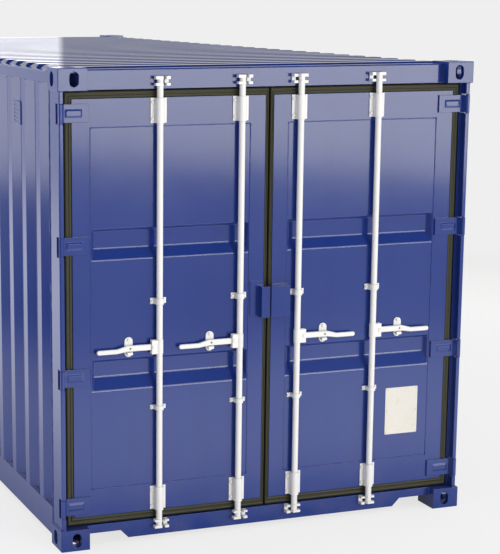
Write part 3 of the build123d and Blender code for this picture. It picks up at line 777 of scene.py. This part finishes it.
def bolt_spots(s):
    """X, depth and height of each bolt on a leaf's rod brackets, rod guides and handle catches."""
    bracket_face, guide_face = 0.054, 0.056
    beside, inset, catch_half = 0.034, 0.022, 0.040
    spots = []
    for x in ROD_X.values():
        rows = [(bracket_face, z) for low, high in BRACKETS for z in (low + inset, high - inset)]
        rows += [(guide_face, z) for z in GUIDE_Z]
        spots += [(s * x + across, depth, z) for depth, z in rows for across in (-beside, beside)]
        spots += [(s * (x + CATCH_OUT), guide_face, CATCH_Z + rise) for rise in (-catch_half, catch_half)]
    return spots


class CONTAINER_OT_bolts(bpy.types.Operator):
    """Bolt heads on the rod brackets, guides and handle catches"""
    bl_idname = "container.bolts"
    bl_label = "Bracket bolts"

    def execute(self, context):
        radius = values("sizes").bolt
        turns = random.Random(11)
        for side, s in SIDES:
            places = [facing_out(x, depth, z, turns.uniform(0, 1)) for x, depth, z in bolt_spots(s)]
            heads = repeated(bolt_head("bolt", radius), places, f"bracket_bolts_{side}")
            fit(heads, f"{side}_door", "gear_paint")
        return {"FINISHED"}


class CONTAINER_OT_handle_pins(bpy.types.Operator):
    """Riveted heads of the pins that the handles hang on"""
    bl_idname = "container.handle_pins"
    bl_label = "Handle pins"

    def execute(self, context):
        fork_face = 0.019
        for side, s in SIDES:
            for place, x in ROD_X.items():
                spot = facing_out(s * (x + PIN_OUT), fork_face, PIN_Z)
                rivet = dome_rivet("rivet", radius=0.0115, height=0.005)
                pin = repeated(rivet, [spot], f"handle_pin_{place}_{side}")
                fit(pin, f"{side}_{place}_rod", "gear_paint")
        return {"FINISHED"}


class CONTAINER_OT_hinge_washers(bpy.types.Operator):
    """Thrust washers above and below each hinge knuckle"""
    bl_idname = "container.hinge_washers"
    bl_label = "Hinge washers"

    def execute(self, context):
        pin_x, pin_depth, knuckle_half = 1.199, 0.022, 0.0505
        for side, s in SIDES:
            washer = primitive("cylinder", "washer", vertices=24, radius=0.0118, depth=0.0034)
            freeze(washer)
            soften(washer, 0.0008)
            places = [Matrix.Translation((s * pin_x, deep(pin_depth), z + rise))
                      for z in HINGE_Z for rise in (-knuckle_half, knuckle_half)]
            washers = repeated(washer, places, f"hinge_washers_{side}")
            fit(washers, "container", "body_paint")
        return {"FINISHED"}


class CONTAINER_OT_plate(bpy.types.Operator):
    """Bare enamelled plate on the right leaf, held by rivets"""
    bl_idname = "container.plate"
    bl_label = "Data plate"

    def execute(self, context):
        sizes = values("sizes")
        x, z = sizes.plate_low
        wide, high = sizes.plate_size
        face, thick, corner, rim, sunk, rivet_in = 0.062, 0.0022, 0.006, 0.006, 0.0007, 0.0095
        plate = primitive("cube", "data_plate", size=1,
                          location=(x + wide / 2, deep(face - thick / 2), z + high / 2))
        plate.scale = (wide, thick, high)
        freeze(plate)
        edit(plate, "EDGE")
        pick(plate, lambda e: abs((e.verts[0].co - e.verts[1].co).y) > thick / 2, "edges")
        bpy.ops.mesh.bevel(offset=corner, segments=5)
        bpy.ops.mesh.select_mode(type="FACE")
        pick(plate, lambda f: f.normal.y < -0.9)
        bpy.ops.mesh.inset(thickness=rim)
        bpy.ops.transform.translate(value=(0, sunk, 0))
        soften(plate, 0.0004, 1)
        places = [facing_out(x + across, face - thick + 0.0004, z + up)
                  for across in (rivet_in, wide - rivet_in) for up in (rivet_in, high / 2, high - rivet_in)]
        rivets = repeated(dome_rivet("rivet", radius=0.0036, height=0.0018), places, "data_plate_rivets")
        fit(plate, "right_door", "gear_paint", "white_plate")
        fit(rivets, "right_door", "gear_paint", "bright_steel")
        return {"FINISHED"}


class CONTAINER_OT_floor_screws(bpy.types.Operator):
    """Flush screws that hold the floor boards to the beams"""
    bl_idname = "container.floor_screws"
    bl_label = "Floor screws"

    def execute(self, context):
        across = values("sizes").screws_across
        low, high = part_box("floor_boards")
        beams_low, beams_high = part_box("cross_members")
        screw = primitive("cylinder", "screw", vertices=10, radius=0.008, depth=0.0012,
                          location=(0, 0, 0.0002))
        freeze(screw)
        edit(screw)
        pick(screw, lambda f: f.normal.z > 0.9)
        bpy.ops.mesh.inset(thickness=0.003)
        bpy.ops.transform.translate(value=(0, 0, -0.0006))
        at_object_mode()
        beams, beam_wide, beam_middle, margin = 17, 0.045, 0.022, 0.06
        pitch = (beams_high.y - beams_low.y - beam_wide) / (beams - 1)
        step = (high.x - low.x - 2 * margin) / (across - 1)
        first_x, first_y = low.x + margin, beams_low.y + beam_middle
        places = [Matrix.Translation((first_x + i * step, first_y + j * pitch, high.z))
                  for i in range(across) for j in range(beams)]
        fit(repeated(screw, places, "floor_screws"), "container", "floor_wood", "bright_steel")
        return {"FINISHED"}


def set_camera():
    """Camera at the photo's place, from the fitted eye point, angles and focal length."""
    eye = Vector((-3.740, FRONT_Y - 8.137, 2.977))
    yaw, pitch = math.radians(19.95), math.radians(10.94)
    focal_px, centre_px, image = 1653.8, (137.0, 310.7), (500, 554)
    look = Vector((math.sin(yaw) * math.cos(pitch), math.cos(yaw) * math.cos(pitch), -math.sin(pitch)))
    data = bpy.data.cameras.new("camera")
    camera = bpy.data.objects.new("camera", data)
    bpy.context.scene.collection.objects.link(camera)
    camera.location = eye
    camera.rotation_euler = look.to_track_quat("-Z", "Y").to_euler()
    long_side = max(image)
    data.sensor_width = 36.0
    data.lens = focal_px * data.sensor_width / long_side
    data.shift_x = (image[0] / 2 - centre_px[0]) / long_side
    data.shift_y = (centre_px[1] - image[1] / 2) / long_side
    data.clip_end = 400.0
    bpy.context.scene.camera = camera


def dusk(tree, way, studio):
    """Share of the light that comes from a way, lower on the studio's dark side."""
    return ramp(tree, dot(tree, way, DARK_SIDE), 0.70, 0.92, 1.0, studio.dark_side)


def set_world(studio):
    """Pale horizon and darker ceiling. Gloss also meets a bright back light and a grey screen beside it."""
    world = bpy.data.worlds.new("studio")
    bpy.context.scene.world = world
    world.use_nodes = True
    tree = world.node_tree
    tree.nodes.clear()
    way = wired(tree, "ShaderNodeTexCoord").outputs["Generated"]
    rise, forth = (parts(tree, way)[axis] for axis in "ZY")
    across = dot(tree, way, (math.cos(SCREEN_AZIMUTH), -math.sin(SCREEN_AZIMUTH), 0))
    rays = wired(tree, "ShaderNodeLightPath").outputs
    dark, level = dusk(tree, way, studio), studio.backdrop

    dim = times(tree, ramp(tree, rise, 0.15, 0.75, studio.fill, studio.fill * studio.ceiling), dark)
    fill = wired(tree, "ShaderNodeBackground", {"Color": (1.0, 0.99, 0.975, 1), "Strength": dim})

    behind = times(tree, rays["Is Glossy Ray"], ramp(tree, forth, -0.1, 0.2))
    screen = times(tree, behind, ramp(tree, across, -0.002, 0.002))
    band = times(tree, ramp(tree, across, -0.20, -0.17), ramp(tree, across, 0.002, -0.002))
    back_light = times(tree, times(tree, behind, band), ramp(tree, rise, 0.16, 0.10))
    lit = times(tree, ramp(tree, rise, 0.30, 0.55, level, level * 0.1), dark)
    lit = times(tree, lit, ramp(tree, screen, 0, 1, 1, studio.screen))
    lit = times(tree, lit, ramp(tree, back_light, 0, 1, 1, studio.back_light))
    pale = wired(tree, "ShaderNodeBackground", {"Color": (1, 1, 1, 1), "Strength": lit})

    seen = maths(tree, "MAXIMUM", rays["Is Camera Ray"], rays["Is Glossy Ray"])
    seen = maths(tree, "MAXIMUM", seen, rays["Is Transmission Ray"])
    mix = wired(tree, "ShaderNodeMixShader", {0: seen, 1: fill.outputs[0], 2: pale.outputs[0]})
    wired(tree, "ShaderNodeOutputWorld", {"Surface": mix.outputs[0]})


def add_floor(studio):
    """Wide pale floor. It keeps the shadow, fades into the backdrop and glows in gloss near the doors."""
    floor = primitive("plane", "studio_floor", size=240.0, location=(0, 0, 0))
    material = bpy.data.materials.new("studio_floor")
    material.use_nodes = True
    tree = material.node_tree
    tree.nodes.clear()
    place = wired(tree, "ShaderNodeTexCoord").outputs["Object"]
    x, y = (parts(tree, place)[axis] for axis in "XY")
    far = wired(tree, "ShaderNodeVectorMath", {0: place}, operation="LENGTH").outputs["Value"]
    heading = wired(tree, "ShaderNodeVectorMath", {0: place}, operation="NORMALIZE").outputs["Vector"]
    rays = wired(tree, "ShaderNodeLightPath").outputs
    tone, level = studio.floor, studio.backdrop
    near = wired(tree, "ShaderNodeBsdfDiffuse", {"Color": (tone, tone, tone, 1)})

    side = maths(tree, "ABSOLUTE", x)
    out_x = maths(tree, "SUBTRACT", side, cad_box[1].x)
    out_y = maths(tree, "SUBTRACT", maths(tree, "ABSOLUTE", y), cad_box[1].y)
    shade = ramp(tree, maths(tree, "MAXIMUM", out_x, out_y), 0.0, 0.9, 0.35, 1.0)
    shade = times(tree, shade, ramp(tree, far, 5.0, 7.0, 1.0, dusk(tree, heading, studio)))
    beside = ramp(tree, out_x, 0.0, 5.0, 0.5, 1.0)
    beside = ramp(tree, ramp(tree, y, FRONT_Y - 1.5, FRONT_Y), 0, 1, 1.0, beside)
    shade = ramp(tree, rays["Is Glossy Ray"], 0, 1, 1.0, times(tree, shade, beside))

    fade = ramp(tree, far, 5.0, 9.0)
    nearby = times(tree, rays["Is Camera Ray"], ramp(tree, fade, 0, 1, 1, 0))
    plain = ramp(tree, nearby, 0, 1, 1, studio.near_floor)
    patch = times(tree, ramp(tree, y, FRONT_Y - 5.2, FRONT_Y - 3.0), ramp(tree, side, 6.5, 3.5))
    glow = ramp(tree, times(tree, patch, rays["Is Glossy Ray"]), 0, 1, level, level * studio.glow)
    glow = times(tree, times(tree, glow, plain), shade)
    away = wired(tree, "ShaderNodeEmission", {"Color": (1, 1, 1, 1), "Strength": glow})

    lift = times(tree, rays["Is Camera Ray"], studio.lift)
    share = maths(tree, "MAXIMUM", maths(tree, "MAXIMUM", lift, rays["Is Glossy Ray"]), fade)
    mix = wired(tree, "ShaderNodeMixShader", {0: share, 1: near.outputs[0], 2: away.outputs[0]})
    wired(tree, "ShaderNodeOutputMaterial", {"Surface": mix.outputs[0]})
    floor.data.materials.append(material)


def add_area(name, left, right, heights, radiance, colour):
    """Upright lamp between two points of the ground, hidden from the camera and facing the doors."""
    along = Vector(right) - Vector(left)
    middle = (Vector(left) + Vector(right)) / 2
    data = bpy.data.lights.new(name, "AREA")
    data.shape = "RECTANGLE"
    data.size, data.size_y = along.length, heights[1] - heights[0]
    data.energy = radiance * math.pi * data.size * data.size_y
    data.color = colour
    lamp = bpy.data.objects.new(name, data)
    lamp.location = (middle.x, middle.y, sum(heights) / 2)
    lamp.rotation_euler = Vector((-along.y, along.x, 0)).to_track_quat("-Z", "Y").to_euler()
    lamp.visible_camera = False
    bpy.context.scene.collection.objects.link(lamp)


def add_sun(name, azimuth, elevation, strength, angle, colour):
    """Lamp whose light comes from an azimuth right of the door end's middle and an elevation."""
    data = bpy.data.lights.new(name, "SUN")
    data.energy, data.angle, data.color = strength, math.radians(angle), colour
    lamp = bpy.data.objects.new(name, data)
    a, e = math.radians(azimuth), math.radians(elevation)
    source = Vector((math.sin(a) * math.cos(e), -math.cos(a) * math.cos(e), math.sin(e)))
    lamp.rotation_euler = (-source).to_track_quat("-Z", "Y").to_euler()
    bpy.context.scene.collection.objects.link(lamp)


class CONTAINER_OT_studio(bpy.types.Operator):
    """Pale floor, backdrop, soft lights and the photo's camera"""
    bl_idname = "container.studio"
    bl_label = "Studio and camera"

    def execute(self, context):
        studio = values("studio")
        set_camera()
        set_world(studio)
        add_floor(studio)
        add_area("low_front_light", left=(2.9, FRONT_Y - 19.0), right=(9.7, FRONT_Y - 9.05),
                 heights=(0.5, 3.0), radiance=studio.low_light, colour=(1.0, 0.97, 0.76))
        add_area("low_side_light", left=(-15.4, 11.0), right=(-15.4, -4.0),
                 heights=(0.25, 3.0), radiance=studio.side_light, colour=(1.0, 0.98, 0.90))
        add_sun("key_light", azimuth=22, elevation=12, strength=studio.key, angle=31,
                colour=(1.0, 0.985, 0.96))
        add_sun("side_fill", azimuth=-118, elevation=12, strength=studio.side_fill, angle=25,
                colour=(1.0, 0.99, 0.98))
        context.scene.view_settings.view_transform = "Standard"
        return {"FINISHED"}


STEPS = (CONTAINER_OT_finishes, CONTAINER_OT_seals, CONTAINER_OT_door_sheets, CONTAINER_OT_welds,
         CONTAINER_OT_bolts, CONTAINER_OT_handle_pins, CONTAINER_OT_hinge_washers, CONTAINER_OT_plate,
         CONTAINER_OT_floor_screws, CONTAINER_OT_studio)
GROUPS = {"paint": ContainerPaint, "sizes": ContainerSizes, "studio": ContainerStudio}


class CONTAINER_PT_panel(bpy.types.Panel):
    """Lists the container's settings and steps in the sidebar"""
    bl_idname = "CONTAINER_PT_panel"
    bl_label = "Storage Container"
    bl_space_type = "VIEW_3D"
    bl_region_type = "UI"
    bl_category = "Container"

    def draw(self, context):
        for name, group in GROUPS.items():
            box = self.layout.box()
            for key in group.__annotations__:
                box.prop(values(name), key)
        for step in STEPS:
            self.layout.operator(step.bl_idname)


def register():
    """Makes the settings and the steps known to Blender."""
    for cls in (*GROUPS.values(), *STEPS, CONTAINER_PT_panel):
        bpy.utils.register_class(cls)
    for name, group in GROUPS.items():
        setattr(bpy.types.Scene, f"container_{name}", PointerProperty(type=group))


def unregister():
    """Takes the settings and the steps out again."""
    for name in GROUPS:
        delattr(bpy.types.Scene, f"container_{name}")
    for cls in reversed((*GROUPS.values(), *STEPS, CONTAINER_PT_panel)):
        bpy.utils.unregister_class(cls)


def main():
    """Runs all the steps."""
    register()
    for step in STEPS:
        group, name = step.bl_idname.split(".")
        getattr(getattr(bpy.ops, group), name)()


if __name__ == "__main__":
    main()
